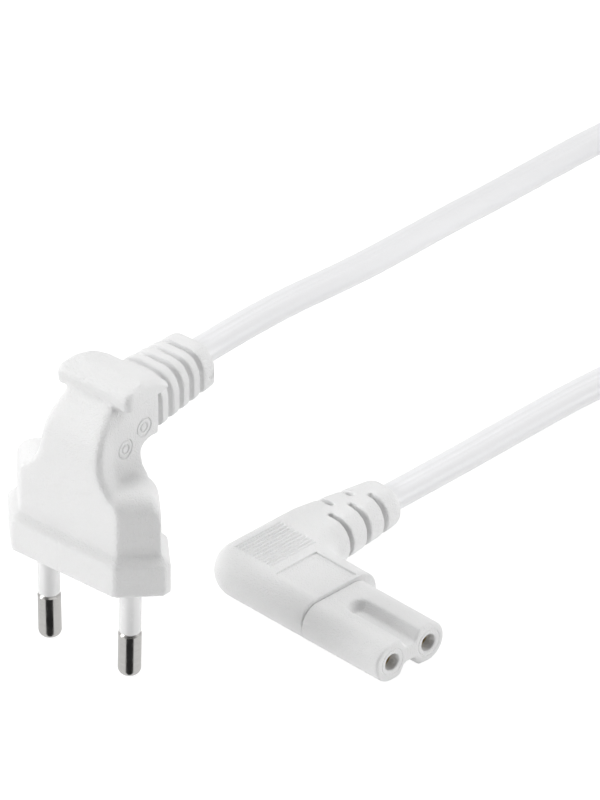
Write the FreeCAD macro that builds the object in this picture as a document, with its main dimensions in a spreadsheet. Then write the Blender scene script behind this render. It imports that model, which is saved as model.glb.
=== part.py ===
import FreeCAD, Part
import math
import operator
import os

import Sketcher
from FreeCAD import Placement, Rotation, Vector

# A white mains lead: a right-angled figure-eight connector, a flat two-core cord and a flat
# right-angled two-pin plug. The connector lies flat with its nose along +X. The origin is under
# the middle of the connector, on the surface that it lies on. All sizes are in millimetres.

SIZES = {
    # connector body
    "connector_length": 43.05,
    "leg_length": 29.5,
    "body_width": 17.8,
    "body_height": 8.35,
    "body_side": 8.0,
    "axis_height": 3.9,
    "leg_width": 13.6,
    "leg_root": 13.2,
    "outer_corner": 6.5,
    "inner_corner": 3.2,
    "edge_flat": 0.35,
    "relief_end_width": 9.2,
    "relief_end_height": 7.8,
    "relief_lip": 0.9,
    "relief_slot": 1.0,
    "relief_slot_pitch": 4.7,
    "relief_slot_start": 15.7,
    "relief_slot_core": 6.4,
    "relief_bridge": 0.7,
    "grip_pitch": 0.87,
    "grip_gap": 0.4,
    "grip_depth": 0.2,
    "grip_length": 10.4,
    "grip_start": 31.15,
    "grip_shift": 2.3,
    "label_length": 9.8,
    "label_width": 9.6,
    "label_depth": 0.2,
    "label_start": 18.7,
    "label_shift": 0.9,
    # connector nose and contacts
    "nose_length": 18.1,
    "nose_seat": 5.0,
    "nose_seat_inset": 1.2,
    "nose_width": 16.0,
    "nose_height": 7.4,
    "nose_edge": 0.5,
    "waist_width": 4.4,
    "waist_floor": 2.2,
    "waist_depth": 2.0,
    "waist_end": 3.7,
    "contact_pitch": 8.6,
    "mouth_diameter": 3.1,
    "mouth_depth": 2.0,
    "contact_bore": 2.5,
    "contact_wall": 0.25,
    "contact_depth": 11.2,
    "contact_web": 1.2,
    "barrel_diameter": 2.1,
    "barrel_length": 4.0,
    "barrel_grip": 3.4,
    # cord
    "cord_width": 5.8,
    "cord_height": 3.6,
    "core_diameter": 2.2,
    "core_spacing": 2.6,
    "strand_diameter": 1.1,
    "strand_clearance": 0.03,
    "strip_gap": 0.4,
    "core_bend": 2.4,
    "cord_seat": 5.0,
    "connector_lead": 14.5,
    "plug_lead": 17.0,
    # plug body
    "plate_length": 35.3,
    "plate_depth": 13.7,
    "plate_cut": 6.1,
    "plate_height": 5.8,
    "ledge_width": 1.5,
    "ledge_height": 1.6,
    "shoulder_height": 18.7,
    "shoulder_end_round": 5.5,
    "shoulder_corner_round": 4.0,
    "shoulder_front_round": 2.8,
    "plan_round": 1.5,
    "neck_width": 12.8,
    "neck_edge_round": 1.3,
    "neck_edge_depth": 4.4,
    "neck_heel_lean": 1.0,
    "neck_heel_round": 2.6,
    "brow_width": 16.8,
    "brow_tail_width": 14.4,
    "brow_front": 0.5,
    "brow_tail": 12.3,
    "brow_top": 35.2,
    "brow_under": 31.6,
    "brow_front_round": 1.9,
    "brow_end_round": 1.2,
    "brow_groove": 0.4,
    "brow_tail_thickness": 1.1,
    "exit_height": 27.3,
    "plug_relief_root": 10.6,
    "plug_relief_end": 26.3,
    "plug_relief_width": 13.0,
    "plug_relief_height": 9.8,
    "plug_relief_tip_width": 10.6,
    "plug_relief_tip_height": 7.9,
    "ring_groove": 1.0,
    "ring_depth": 1.0,
    "ring_start": 11.2,
    "ring_pitch": 2.88,
    # plug pins
    "pin_pitch": 18.6,
    "pin_toe": 1.2,
    "pin_diameter": 4.0,
    "pin_length": 19.5,
    "pin_tip_round": 1.3,
    "pin_shoulder_edge": 0.35,
    "sleeve_length": 11.0,
    "sleeve_diameter": 3.8,
    "sleeve_edge": 0.25,
    "sleeve_wall": 0.55,
    "sleeve_seat": 2.0,
    "pin_collar_diameter": 4.6,
    "pin_collar_start": 3.0,
    "pin_collar_length": 1.5,
    "pin_tail": 11.5,
    "pin_grip": 4.0,
    "carrier_length": 24.0,
    "carrier_depth": 8.4,
    "carrier_height": 7.0,
    # where the plug stands, from the origin
    "plug_x": -20.43,
    "plug_y": -45.42,
    "plug_turn": 4.6,
    # coil of the cord that is put away
    "coil_x": -6.63,
    "coil_y": 150.08,
    "coil_outer_diameter": 82.6,
    "coil_inner_diameter": 53.2,
    "coil_height": 11.9,
    "tie_thickness": 0.6,
    "tie_width": 6.0,
    "tie_clearance": 0.3,
}

RIGHT_SLOTS = 3
LEFT_SLOTS = 2
GRIP_GAPS = 9
PLUG_GROOVES = 5

# Levels of the plug's neck above the shoulder, with how far its front edge and its flanks stand
# out past the neck's width, and how far its front has leaned back
NECK_LEVELS = [
    (-4.2, 5.2, 3.2, 0.0),
    (-0.6, 3.5, 1.6, 0.0),
    (1.3, 1.9, 0.4, 0.0),
    (4.0, 0.8, 0.0, 0.1),
    (8.0, 0.2, 0.0, 1.1),
    (11.2, -0.8, 0.0, 3.4),
    (13.6, -1.3, 0.0, 6.2),
]

doc = FreeCAD.newDocument("mains_lead")


class Size:
    """A length or an angle, with the sheet expression that it comes from."""

    def __init__(self, value, text):
        self.value = value
        self.text = text

    def __add__(self, other):
        return combine(self, "+", other)

    def __radd__(self, other):
        return combine(other, "+", self)

    def __sub__(self, other):
        return combine(self, "-", other)

    def __rsub__(self, other):
        return combine(other, "-", self)

    def __mul__(self, other):
        return combine(self, "*", other)

    def __rmul__(self, other):
        return combine(other, "*", self)

    def __truediv__(self, other):
        return combine(self, "/", other)

    def __neg__(self):
        return combine(0, "-", self)


OPERATIONS = {"+": operator.add, "-": operator.sub, "*": operator.mul, "/": operator.truediv}


def as_size(number):
    """Return a plain number as a size."""
    return number if isinstance(number, Size) else Size(float(number), repr(float(number)))


def combine(first, sign, second):
    """Return the sum, difference, product or quotient of two sizes."""
    first = as_size(first)
    second = as_size(second)
    value = OPERATIONS[sign](first.value, second.value)
    return Size(value, "(" + first.text + " " + sign + " " + second.text + ")")


def cosine(angle):
    """Return the cosine of an angle in degrees."""
    return Size(math.cos(math.radians(angle.value)), "cos(" + angle.text + ")")


def tangent(angle):
    """Return the tangent of an angle in degrees."""
    return Size(math.tan(math.radians(angle.value)), "tan(" + angle.text + ")")


def sine(angle):
    """Return the sine of an angle in degrees."""
    return Size(math.sin(math.radians(angle.value)), "sin(" + angle.text + ")")


def write_sheet():
    """Write the driving dimensions to the sheet and return each as a size."""
    sheet = doc.addObject("Spreadsheet::Sheet", "sizes")
    for row, (name, value) in enumerate(SIZES.items(), start=1):
        sheet.set("A" + str(row), name)
        sheet.set("B" + str(row), str(value))
        sheet.setAlias("B" + str(row), name)
    doc.recompute()
    return {name: Size(float(sheet.get(name)), "sizes." + name) for name in SIZES}


size = write_sheet()


# Derived places

FACE_X = size["connector_length"] / 2
NOSE_Y = (size["body_side"] - size["leg_length"]) / 2
AXIS_Z = size["axis_height"]
SOFT_EDGE = (size["body_height"] - size["edge_flat"]) / 2
BACK_X = FACE_X - size["connector_length"]
SHOULDER_X = FACE_X - size["nose_length"]
LEG_X = BACK_X + size["leg_width"] / 2
RELIEF_END_Y = NOSE_Y + size["leg_length"]
HALF_PITCH = size["contact_pitch"] / 2
CONTACT_RADIUS = size["contact_bore"] / 2 + size["contact_wall"]
CONTACT_END = size["mouth_depth"] + size["contact_depth"] + size["contact_web"]
BARREL_END = CONTACT_END + size["barrel_length"]
HALF_CORE = size["core_spacing"] / 2

PIN_RADIUS = size["pin_diameter"] / 2
PIN_X = size["pin_pitch"] / 2
PLUG_STAND = (
    (size["pin_length"] - size["pin_tip_round"]) * cosine(size["pin_toe"])
    + size["pin_tip_round"]
    + (PIN_RADIUS - size["pin_tip_round"]) * sine(size["pin_toe"])
)
LEDGE_TOP = size["plate_height"] + size["ledge_height"]
BLOCK_Y = size["plate_depth"] / 2 - size["ledge_width"]
BLOCK_X = size["plate_length"] / 2 - size["ledge_width"]
BLOCK_CUT = size["plate_cut"] - size["ledge_width"] * 0.586
PIN_NECK_RADIUS = size["sleeve_diameter"] / 2 - size["sleeve_wall"]

PLUG_PLACE = Placement(
    Vector(size["plug_x"].value, size["plug_y"].value, PLUG_STAND.value),
    Rotation(Vector(0, 0, 1), size["plug_turn"].value),
)


# Sketches and simple solids

PLANES = {
    "XY": (Rotation(), "z"),
    "XZ": (Rotation(Vector(1, 0, 0), 90), "y"),
    "YZ": (Rotation(Vector(1, 1, 1), 120), "x"),
}


def bind(item, **sizes):
    """Bind properties of an object to sizes; a double underline stands for a dot."""
    for name, value in sizes.items():
        item.setExpression(name.replace("__", "."), as_size(value).text)
    return item


def corner_arc(before, corner, after, radius):
    """Return the centre, the two ends and the turning sense of a rounded corner."""
    towards = (before - corner).normalize()
    away = (after - corner).normalize()
    half = towards.getAngle(away) / 2
    reach = radius / math.tan(half)
    centre = corner + (towards + away).normalize() * (radius / math.sin(half))
    left_turn = towards.cross(away).z < 0
    return centre, corner + towards * reach, corner + away * reach, left_turn


def place_point(drawing, geometry, end, corner):
    """Hold one point of a sketch at a pair of sizes from the sketch's origin."""
    for kind, along in zip(("DistanceX", "DistanceY"), corner):
        along = as_size(along)
        rule = Sketcher.Constraint(kind, -1, 1, geometry, end, along.value)
        index = drawing.addConstraint(rule)
        drawing.setExpression("Constraints[" + str(index) + "]", along.text)


def draw_outline(drawing, corners, rounds):
    """Draw a closed outline through corners, some of them rounded, held by the sheet's sizes."""
    count = len(corners)
    points = [Vector(as_size(x).value, as_size(y).value, 0) for x, y in corners]
    arcs = {}
    for index, radius in rounds.items():
        before = points[index - 1]
        after = points[(index + 1) % count]
        arcs[index] = corner_arc(before, points[index], after, as_size(radius).value)
    for index in range(count):
        following = (index + 1) % count
        start = arcs[index][2] if index in arcs else points[index]
        end = arcs[following][1] if following in arcs else points[following]
        drawing.addGeometry(Part.LineSegment(start, end), False)
    for index in range(count):
        previous = (index - 1) % count
        if index not in arcs:
            drawing.addConstraint(Sketcher.Constraint("Coincident", previous, 2, index, 1))
            place_point(drawing, index, 1, corners[index])
            continue
        centre, first, second, left_turn = arcs[index]
        radius = as_size(rounds[index])
        circle = Part.Circle(centre, Vector(0, 0, 1), radius.value)
        ends = (first, second) if left_turn else (second, first)
        angles = [math.atan2(end.y - centre.y, end.x - centre.x) for end in ends]
        if angles[1] < angles[0]:
            angles[1] += 2 * math.pi
        arc = drawing.addGeometry(Part.ArcOfCircle(circle, *angles), False)
        at_first, at_second = (1, 2) if left_turn else (2, 1)
        drawing.addConstraint(Sketcher.Constraint("Tangent", previous, 2, arc, at_first))
        drawing.addConstraint(Sketcher.Constraint("Tangent", arc, at_second, index, 1))
        rule = drawing.addConstraint(Sketcher.Constraint("Radius", arc, radius.value))
        drawing.setExpression("Constraints[" + str(rule) + "]", radius.text)
        mark = drawing.addGeometry(Part.Point(points[index]), True)
        drawing.addConstraint(Sketcher.Constraint("PointOnObject", mark, 1, previous))
        drawing.addConstraint(Sketcher.Constraint("PointOnObject", mark, 1, index))
        place_point(drawing, mark, 1, corners[index])


def outline(name, plane, corners, rounds=None, offset=0):
    """Return a sketch of its own on a plane, at an offset along the plane's normal axis."""
    drawing = doc.addObject("Sketcher::SketchObject", name + "_outline")
    turn, axis = PLANES[plane]
    drawing.Placement = Placement(Vector(), turn)
    draw_outline(drawing, corners, rounds or {})
    drawing.setExpression("Placement.Base." + axis, as_size(offset).text)
    return drawing


def prism(name, plane, corners, length, rounds=None, offset=0, both_ways=False):
    """Extrude an outline along its plane's normal, or by half the length each way."""
    solid = doc.addObject("Part::Extrusion", name)
    solid.Base = outline(name, plane, corners, rounds, offset)
    solid.DirMode = "Normal"
    solid.Solid = True
    solid.Symmetric = both_ways
    return bind(solid, LengthFwd=length)


def loft(name, sections):
    """Join sketches into one solid with straight sides."""
    solid = doc.addObject("Part::Loft", name)
    solid.Sections = sections
    solid.Solid = True
    solid.Ruled = True
    return solid


def box(name, corner, lengths):
    """Return a box with its lowest corner and its three lengths bound to sizes."""
    solid = doc.addObject("Part::Box", name)
    bind(solid, Length=lengths[0], Width=lengths[1], Height=lengths[2])
    return bind(
        solid, Placement__Base__x=corner[0], Placement__Base__y=corner[1], Placement__Base__z=corner[2]
    )


def fuse(name, solids):
    """Join several solids."""
    joined = doc.addObject("Part::MultiFuse", name)
    joined.Shapes = solids
    joined.Refine = True
    return joined


def cut(name, base, tool):
    """Take one solid away from another."""
    rest = doc.addObject("Part::Cut", name)
    rest.Base = base
    rest.Tool = tool
    rest.Refine = False
    return rest


def common(name, first, second):
    """Keep what two solids share."""
    shared = doc.addObject("Part::MultiCommon", name)
    shared.Shapes = [first, second]
    return shared


def origin_plane(body, role):
    """Return one of a body's own origin planes."""
    return next(item for item in body.Origin.OriginFeatures if item.Role == role)


def body_sketch(body, name, role, corners, rounds=None):
    """Draw an outline on a body's own origin plane."""
    drawing = body.newObject("Sketcher::SketchObject", name)
    drawing.AttachmentSupport = [(origin_plane(body, role), "")]
    drawing.MapMode = "FlatFace"
    draw_outline(drawing, corners, rounds or {})
    return drawing


def turned(name, corners, rounds=None):
    """Turn an outline of radius and height about the upright axis, as a body of its own."""
    body = doc.addObject("PartDesign::Body", name)
    drawing = body_sketch(body, name + "_profile", "XZ_Plane", corners, rounds)
    turn = body.newObject("PartDesign::Revolution", name + "_turning")
    turn.Profile = drawing
    turn.ReferenceAxis = (drawing, ["V_Axis"])
    turn.Angle = 360
    return body


# Round and flat runs

def rounded_wire(points, radii):
    """Join straight runs by tangent arcs of the given radii."""
    edges = []
    start = points[0]
    for before, corner, after, radius in zip(points, points[1:], points[2:], radii):
        towards = (before - corner).normalize()
        away = (after - corner).normalize()
        half = towards.getAngle(away) / 2
        reach = radius / math.tan(half)
        centre = corner + (towards + away).normalize() * (radius / math.sin(half))
        middle = centre + (corner - centre).normalize() * radius
        first = corner + towards * reach
        last = corner + away * reach
        edges.append(Part.LineSegment(start, first).toShape())
        edges.append(Part.Arc(first, middle, last).toShape())
        start = last
    edges.append(Part.LineSegment(start, points[-1]).toShape())
    return Part.Wire(edges)


def widest_radii(points):
    """Return the radius at each corner of a free cord, as large as its two runs allow."""
    radii = []
    for before, corner, after in zip(points, points[1:], points[2:]):
        shorter = min((before - corner).Length, (after - corner).Length)
        turn = (corner - before).getAngle(after - corner)
        radii.append(0.45 * shorter / math.tan(turn / 2))
    return radii


def oval_wire(width, height, centre, along, flat):
    """Return the flat oval section of the cord, square to a direction, wide along another."""
    side = flat.normalize()
    rise = along.cross(side).normalize() * (height / 2)
    reach = side * ((width - height) / 2)
    round_end = side * (width / 2)
    right = centre + reach
    left = centre - reach
    edges = [
        Part.LineSegment(left - rise, right - rise).toShape(),
        Part.Arc(right - rise, centre + round_end, right + rise).toShape(),
        Part.LineSegment(right + rise, left + rise).toShape(),
        Part.Arc(left + rise, centre - round_end, left - rise).toShape(),
    ]
    return Part.Wire(edges)


def round_wire(diameter, centre, along):
    """Return a round section square to a direction."""
    return Part.Wire([Part.Circle(centre, along, diameter / 2).toShape()])


def sweep(path, section):
    """Sweep a section along a path of runs and arcs."""
    return path.makePipeShell([section], True, False)


def feature(name, shape, place=None):
    """Put a shape into the document as an object, then give it its place."""
    item = doc.addObject("Part::Feature", name)
    item.Shape = shape
    if place:
        item.Placement = place
    return item


# Connector

def make_connector_form():
    """Return the outer form of the soft body: the L, its ribbed grip and its strain relief."""
    leg_front = BACK_X + size["leg_width"]
    low_y = NOSE_Y - size["body_side"]
    high_y = low_y + size["body_width"]
    root_y = NOSE_Y + size["leg_root"]
    corners = [
        (SHOULDER_X, low_y),
        (SHOULDER_X, high_y),
        (leg_front, high_y),
        (leg_front, root_y),
        (BACK_X, root_y),
        (BACK_X, low_y),
    ]
    body = doc.addObject("PartDesign::Body", "connector_block")
    rounds = {2: size["inner_corner"], 5: size["outer_corner"]}
    plan = body_sketch(body, "connector_plan", "XY_Plane", corners, rounds)
    pad = body.newObject("PartDesign::Pad", "connector_pad")
    pad.Profile = plan
    bind(pad, Length=size["body_height"])
    doc.recompute()
    softened = body.newObject("PartDesign::Fillet", "connector_softening")
    softened.Base = (pad, long_edges(pad.Shape, SHOULDER_X.value, root_y.value))
    bind(softened, Radius=SOFT_EDGE)
    joined = fuse("connector_whole", [body] + make_round_relief(root_y))
    slots = cut("connector_slots", fuse("connector_slot_blocks", slot_blocks()), slot_core())
    return cut("connector_form", cut("connector_relieved", joined, slots), top_cuts())


def long_edges(shape, shoulder_x, root_y):
    """Name the top and bottom edges, apart from those on the shoulder and the leg's root."""
    names = []
    for number, edge in enumerate(shape.Edges, start=1):
        box_of_edge = edge.BoundBox
        upright = box_of_edge.ZLength > 0.1
        on_shoulder = box_of_edge.XMin > shoulder_x - 0.01
        on_root = box_of_edge.YMin > root_y - 0.01
        if not (upright or on_shoulder or on_root):
            names.append("Edge" + str(number))
    return names


def leg_section(name, place, low_z, high_z, half_width):
    """Return a section of the leg, square to it, with its sides rounded over."""
    softness = (high_z - low_z - size["edge_flat"]) / 2
    corners = [
        (LEG_X - half_width, low_z),
        (LEG_X + half_width, low_z),
        (LEG_X + half_width, high_z),
        (LEG_X - half_width, high_z),
    ]
    return outline(name, "XZ", corners, {index: softness for index in range(4)}, place)


def make_round_relief(root_y):
    """Return the connector's strain relief, which runs from the leg's section to a round end."""
    end_y = NOSE_Y + size["leg_length"]
    lip = size["relief_lip"]
    high = size["relief_end_height"] / 2
    wide = size["relief_end_width"] / 2
    less = lip / 2
    low_z = AXIS_Z - high
    high_z = AXIS_Z + high
    sections = [
        leg_section("leg_end", root_y, 0, size["body_height"], size["leg_width"] / 2),
        leg_section("leg_relief_tip", end_y - lip, low_z, high_z, wide),
        leg_section("leg_relief_end", end_y, low_z + less, high_z - less, wide - less),
    ]
    return [loft("connector_relief", sections[:2]), loft("connector_relief_lip", sections[1:])]


def slot_blocks():
    """Return the blocks that cut the staggered slots of the strain relief, on both sides."""
    reach = size["leg_width"]
    pitch = size["relief_slot_pitch"]
    first = NOSE_Y + size["relief_slot_start"]
    right = LEG_X + size["relief_bridge"]
    left = LEG_X - size["relief_bridge"] - reach
    blocks = []
    for side, low_x, count, shift in (("right", right, RIGHT_SLOTS, 0), ("left", left, LEFT_SLOTS, 0.5)):
        for index in range(count):
            low_y = first + pitch * (index + shift) - size["relief_slot"] / 2
            name = "slot_" + side + "_" + str(index + 1)
            lengths = (reach, size["relief_slot"], size["body_height"])
            blocks.append(box(name, (low_x, low_y, 0), lengths))
    return blocks


def slot_core():
    """Return the round core that the slots of the strain relief leave."""
    core = doc.addObject("Part::Cylinder", "slot_core")
    core.Placement = Placement(Vector(), Rotation(Vector(1, 0, 0), -90))
    bind(core, Radius=size["relief_slot_core"] / 2, Height=size["leg_length"])
    return bind(core, Placement__Base__x=LEG_X, Placement__Base__y=NOSE_Y, Placement__Base__z=AXIS_Z)


def top_cuts():
    """Return the shallow cuts of the top: the gaps between the grip's ribs and the label field."""
    top = size["body_height"] - size["grip_depth"]
    first = FACE_X - size["grip_start"] - size["grip_gap"]
    low_y = NOSE_Y + size["grip_shift"] - size["grip_length"] / 2
    cuts = []
    for index in range(GRIP_GAPS):
        corner = (first - size["grip_pitch"] * index, low_y, top)
        lengths = (size["grip_gap"], size["grip_length"], size["body_height"])
        cuts.append(box("grip_gap_" + str(index + 1), corner, lengths))
    label_x = FACE_X - size["label_start"] - size["label_length"]
    label_y = NOSE_Y + size["label_shift"] - size["label_width"] / 2
    label_z = size["body_height"] - size["label_depth"]
    lengths = (size["label_length"], size["label_width"], size["body_height"])
    cuts.append(box("label_field", (label_x, label_y, label_z), lengths))
    return fuse("top_cuts", cuts)


def nose_section(name, start, length, inset):
    """Return a prism with the nose's round-ended section, less an inset, from a place along X."""
    half_width = size["nose_width"] / 2 - inset
    half_height = size["nose_height"] / 2 - inset
    low_z = AXIS_Z - half_height
    high_z = AXIS_Z + half_height
    corners = [
        (NOSE_Y - half_width, low_z),
        (NOSE_Y + half_width, low_z),
        (NOSE_Y + half_width, high_z),
        (NOSE_Y - half_width, high_z),
    ]
    end_round = half_height * 0.98
    rounds = {index: end_round for index in range(4)}
    return prism(name, "YZ", corners, length, rounds, start)


def front_edges(shape, face_x):
    """Number the edges that bound the nose's front face."""
    on_face = []
    for number, edge in enumerate(shape.Edges, start=1):
        if edge.BoundBox.XMin > face_x - 0.01:
            on_face.append(number)
    return on_face


def make_nose():
    """Return the hard nose, with its waist slots and the bores of the contacts."""
    length = size["nose_length"] + size["nose_seat"]
    front = nose_section("nose_front", SHOULDER_X, size["nose_length"], 0)
    seat_run = size["nose_seat"] + size["nose_length"] / 2
    seat = nose_section("nose_seat", FACE_X - length, seat_run, size["nose_seat_inset"])
    blank = fuse("nose_blank", [front, seat])
    waists = []
    wide = size["waist_width"] / 2
    narrow = size["waist_floor"] / 2
    run = size["nose_length"] - size["waist_end"] - wide
    half_height = size["nose_height"] / 2
    floor = half_height - size["waist_depth"]
    for side, up in (("top", 1), ("bottom", -1)):
        mouth_z = AXIS_Z + half_height * up
        floor_z = AXIS_Z + floor * up
        corners = [
            (NOSE_Y - narrow, floor_z),
            (NOSE_Y + narrow, floor_z),
            (NOSE_Y + wide, mouth_z),
            (NOSE_Y - wide, mouth_z),
        ]
        waists.append(prism("waist_" + side, "YZ", corners, run + wide, None, FACE_X - run))
        end = doc.addObject("Part::Cone", "waist_end_" + side)
        low_radius, high_radius = (narrow, wide) if up > 0 else (wide, narrow)
        bind(end, Radius1=low_radius, Radius2=high_radius, Height=size["waist_depth"])
        low_z = floor_z if up > 0 else mouth_z
        bind(end, Placement__Base__x=FACE_X - run, Placement__Base__y=NOSE_Y, Placement__Base__z=low_z)
        waists.append(end)
    waisted = cut("nose_waisted", blank, fuse("nose_waists", waists))
    doc.recompute()
    softened = doc.addObject("Part::Fillet", "nose_softened")
    softened.Base = waisted
    edge_radius = size["nose_edge"].value
    numbers = front_edges(waisted.Shape, FACE_X.value)
    softened.Edges = [(number, edge_radius, edge_radius) for number in numbers]
    bores = []
    for side, low in (("left", -1), ("right", 1)):
        for part, radius, start, run in (
            ("mouth", size["mouth_diameter"] / 2, FACE_X - size["mouth_depth"], size["mouth_depth"] * 2),
            ("seat", CONTACT_RADIUS, FACE_X - length, length - size["mouth_depth"]),
        ):
            bore = doc.addObject("Part::Cylinder", part + "_" + side)
            bore.Placement = Placement(Vector(), Rotation(Vector(0, 1, 0), 90))
            bind(bore, Radius=radius, Height=run)
            bind(bore, Placement__Base__x=start, Placement__Base__z=AXIS_Z)
            bind(bore, Placement__Base__y=NOSE_Y + HALF_PITCH * low)
            bores.append(bore)
    return cut("connector_nose", softened, fuse("nose_bores", bores))


def make_contact(name, low):
    """Return one socket contact: a split-free tube with a crimped barrel behind it."""
    bore = size["contact_bore"] / 2
    barrel = size["barrel_diameter"] / 2
    grip = size["strand_diameter"] / 2 + size["strand_clearance"]
    front = -size["mouth_depth"]
    floor = -(size["mouth_depth"] + size["contact_depth"])
    web = -CONTACT_END
    end = -BARREL_END
    corners = [
        (0, floor),
        (bore, floor),
        (bore, front),
        (CONTACT_RADIUS, front),
        (CONTACT_RADIUS, web),
        (barrel, web),
        (barrel, end),
        (grip, end),
        (grip, end + size["barrel_grip"]),
        (0, end + size["barrel_grip"]),
    ]
    contact = turned(name, corners)
    contact.Placement = Placement(Vector(), Rotation(Vector(0, 1, 0), 90))
    bind(contact, Placement__Base__x=FACE_X, Placement__Base__z=AXIS_Z)
    return bind(contact, Placement__Base__y=NOSE_Y + HALF_PITCH * low)


def make_wire(name, points, strip, bends, place=None):
    """Return the copper strands of one core and the insulation round them.

    The strands follow all the points. The insulation stops short of the last one by the strip.
    """
    ends = (points[-2] - points[-1]).normalize() * strip
    covered = points[:-1] + [points[-1] + ends]
    along = points[1] - points[0]
    copper = sweep(rounded_wire(points, bends), round_wire(size["strand_diameter"].value, points[0], along))
    sleeve = sweep(rounded_wire(covered, bends), round_wire(size["core_diameter"].value, points[0], along))
    strands = feature(name.replace("core", "strands"), copper, place)
    insulation = feature(name, sleeve.cut(copper), place)
    return insulation, strands


def make_connector_wires():
    """Return the two cores inside the connector, from the cord's end to the contacts."""
    grip_end = FACE_X.value - BARREL_END.value + size["barrel_grip"].value
    start_y = RELIEF_END_Y.value - size["cord_seat"].value
    wires = []
    for name, side in (("connector_core_brown", 1), ("connector_core_blue", -1)):
        column = LEG_X.value + side * HALF_CORE.value
        row = NOSE_Y.value + side * HALF_PITCH.value
        points = [
            Vector(column, start_y, AXIS_Z.value),
            Vector(column, row, AXIS_Z.value),
            Vector(grip_end, row, AXIS_Z.value),
        ]
        strip = size["barrel_grip"].value + size["strip_gap"].value
        wires.extend(make_wire(name, points, strip, [size["core_bend"].value]))
    return wires


def seat_prism(name, start, along, flat, length, place=None):
    """Return the straight end of the cord that a strain relief is moulded round."""
    section = oval_wire(size["cord_width"].value, size["cord_height"].value, start, along, flat)
    return feature(name, Part.Face(section).extrude(along * length), place)


def make_connector():
    """Return the connector's pieces."""
    contacts = [make_contact("connector_contact_left", -1), make_contact("connector_contact_right", 1)]
    nose = make_nose()
    wires = make_connector_wires()
    length = size["nose_length"] + size["nose_seat"]
    core_of_nose = nose_section("nose_room", FACE_X - length, length, size["nose_seat_inset"])
    start = Vector(LEG_X.value, RELIEF_END_Y.value - size["cord_seat"].value, AXIS_Z.value)
    seat = seat_prism(
        "connector_cord_seat", start, Vector(0, 1, 0), Vector(1, 0, 0), size["cord_seat"].value + 1
    )
    room = fuse("connector_room", [core_of_nose, seat] + wires)
    body = cut("connector_body", make_connector_form(), room)
    return [body, nose] + contacts + wires


# Plug

def hexagon(grow):
    """Return the plug's six-sided plan with its two small end flats, made smaller by an edge."""
    half_x = size["plate_length"] / 2 - grow
    half_y = size["plate_depth"] / 2 - grow
    slant = size["plate_cut"] - grow * 0.586
    front_x = half_x - slant
    flat_y = half_y - slant
    return [
        (-front_x, -half_y),
        (front_x, -half_y),
        (half_x, -flat_y),
        (half_x, flat_y),
        (front_x, half_y),
        (-front_x, half_y),
        (-half_x, flat_y),
        (-half_x, -flat_y),
    ]


def plan_rounds():
    """Return the same small radius for each corner of the plug's plan that shows."""
    return {index: size["plan_round"] for index in (0, 1, 4, 5)}


def make_plug_base():
    """Return the plate at the engagement face with its sloping ledge."""
    plate = prism("plug_plate", "XY", hexagon(0), size["plate_height"], plan_rounds())
    low = outline("plug_ledge_low", "XY", hexagon(0), plan_rounds(), size["plate_height"])
    high = outline("plug_ledge_high", "XY", hexagon(size["ledge_width"]), plan_rounds(), LEDGE_TOP)
    return [plate, loft("plug_ledge", [low, high])]


def rolled_prism(name, plane, half_width, softness, turn=0):
    """Return a long bar as high as the shoulders, with both its top edges rolled over."""
    corners = [
        (-half_width, size["plate_height"]),
        (half_width, size["plate_height"]),
        (half_width, size["shoulder_height"]),
        (-half_width, size["shoulder_height"]),
    ]
    bar = prism(name, plane, corners, size["plate_length"] * 2, {2: softness, 3: softness}, 0, True)
    bar.Placement = Placement(Vector(), Rotation(Vector(0, 0, 1), turn))
    return bar


def make_plug_block():
    """Return the wide lower block, whose top rolls over on all its sides."""
    plan = hexagon(size["ledge_width"])
    column = prism("plug_column", "XY", plan, size["shoulder_height"], plan_rounds(), size["plate_height"])
    across_corner = (BLOCK_X + BLOCK_Y - BLOCK_CUT) / math.sqrt(2)
    bars = [
        rolled_prism("plug_long_bar", "XZ", BLOCK_X, size["shoulder_end_round"]),
        rolled_prism("plug_cross_bar", "YZ", BLOCK_Y, size["shoulder_front_round"]),
        rolled_prism("plug_corner_bar_1", "XZ", across_corner, size["shoulder_corner_round"], 45),
        rolled_prism("plug_corner_bar_2", "XZ", across_corner, size["shoulder_corner_round"], -45),
    ]
    block = column
    for index, bar in enumerate(bars, start=1):
        block = common("plug_block_" + str(index), block, bar)
    return block


def neck_section(index, level):
    """Return one level of the neck: a rounded front edge, flanks that slope in, and a straight back."""
    height, edge_out, flank_out, lean = level
    flank = size["neck_width"] / 2 + flank_out
    edge = size["neck_width"] / 2 + edge_out
    front = lean - BLOCK_Y
    slope_end = front + size["neck_edge_depth"]
    rear = size["plug_relief_root"] + 1
    corners = [
        (-edge, front),
        (edge, front),
        (flank, slope_end),
        (flank, rear),
        (-flank, rear),
        (-flank, slope_end),
    ]
    soft = size["neck_edge_round"]
    place = size["shoulder_height"] + height
    return outline("neck_level_" + str(index), "XY", corners, {0: soft, 1: soft}, place)


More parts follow.
